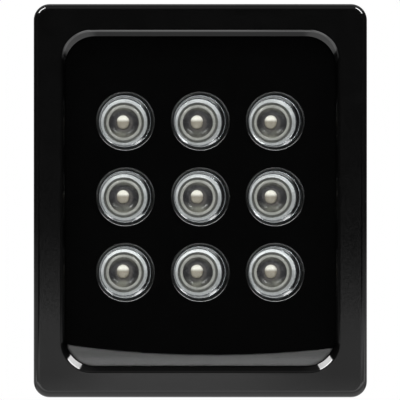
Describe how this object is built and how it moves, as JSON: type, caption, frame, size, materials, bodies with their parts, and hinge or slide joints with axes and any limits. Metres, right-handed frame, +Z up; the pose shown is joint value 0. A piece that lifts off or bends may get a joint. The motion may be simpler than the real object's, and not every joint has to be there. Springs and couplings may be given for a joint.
{
  "type": "infrared illuminator",
  "caption": "Rectangular wall-mounted infrared flood lamp with recessed glass, an array of round collimating lenses, finned back, cable gland and tilting bracket.",
  "frame": {"origin": "centre of the wall bracket's back face, midway between its two wall holes", "axes": "+Z up, +Y into the wall, +X to the right of someone who faces the lamp"},
  "size_m": [0.125, 0.109, 0.1474],
  "materials": {
    "bezel_paint": "satin black powder coat",
    "housing_paint": "fine textured black powder coat",
    "bracket_paint": "fine textured black powder coat",
    "window_glass": "clear polished toughened glass",
    "tray_plastic": "gloss black moulding",
    "lens_clear": "clear moulded optic",
    "emitter_package": "pale ceramic base with a clear silicone dome",
    "circuit_board": "white solder mask",
    "driver_board": "green solder mask",
    "thermal_pad": "soft grey silicone",
    "spreader": "rolled sheet",
    "black_rubber": "matt",
    "silicone_seal": "soft silicone cord",
    "screw_steel": "passivated stainless steel",
    "black_plastic": "glass-filled nylon",
    "natural_nylon": "slippery natural nylon",
    "terminal_green": "moulded terminal strip",
    "capacitor_sleeve": "heat-shrunk sleeve",
    "ferrite": "sintered ferrite",
    "lead_red": "wire insulation",
    "lead_black": "wire insulation",
    "plated_brass": "nickel plated"
  },
  "bodies": {
    "bracket": {"wall_bracket": "bracket_paint"},
    "head": {"bezel_screws": "screw_steel", "board_screws": "screw_steel", "bridge_rectifier": "black_plastic", "capacitors": "capacitor_sleeve", "driver_board": "driver_board", "driver_chip": "black_plastic", "driver_screws": "screw_steel", "emitter_1": "emitter_package", "emitter_2": "emitter_package", "emitter_3": "emitter_package", "emitter_4": "emitter_package", "emitter_5": "emitter_package", "emitter_6": "emitter_package", "emitter_7": "emitter_package", "emitter_8": "emitter_package", "emitter_9": "emitter_package", "emitter_board": "circuit_board", "emitter_lead_negative": "lead_black", "emitter_lead_positive": "lead_red", "flat_washer_left": "screw_steel", "flat_washer_right": "screw_steel", "friction_washer_left": "natural_nylon", "friction_washer_right": "natural_nylon", "front_bezel": "bezel_paint", "front_window": "window_glass", "gland_body": "black_plastic", "gland_cap": "black_plastic", "gland_locknut": "black_plastic", "gland_seal": "black_rubber", "gland_washer": "black_rubber", "heat_spreader": "spreader", "housing_seal": "silicone_seal", "inductor": "ferrite", "lead_grommet": "black_rubber", "lens_1": "lens_clear", "lens_2": "lens_clear", "lens_3": "lens_clear", "lens_4": "lens_clear", "lens_5": "lens_clear", "lens_6": "lens_clear", "lens_7": "lens_clear", "lens_8": "lens_clear", "lens_9": "lens_clear", "lens_tray": "tray_plastic", "pivot_screw_left": "screw_steel", "pivot_screw_right": "screw_steel", "rear_housing": "housing_paint", "spring_washer_left": "screw_steel", "spring_washer_right": "screw_steel", "terminal_block": "terminal_green", "terminal_screws": "plated_brass", "thermal_pad": "thermal_pad", "window_gasket": "black_rubber"}
  },
  "joints": [
    {"name": "tilt", "type": "hinge", "parent": "bracket", "child": "head", "pos_m": [0, -0.075, 0], "axis": [1, 0, 0], "range_deg": [-80, 80]}
  ]
}
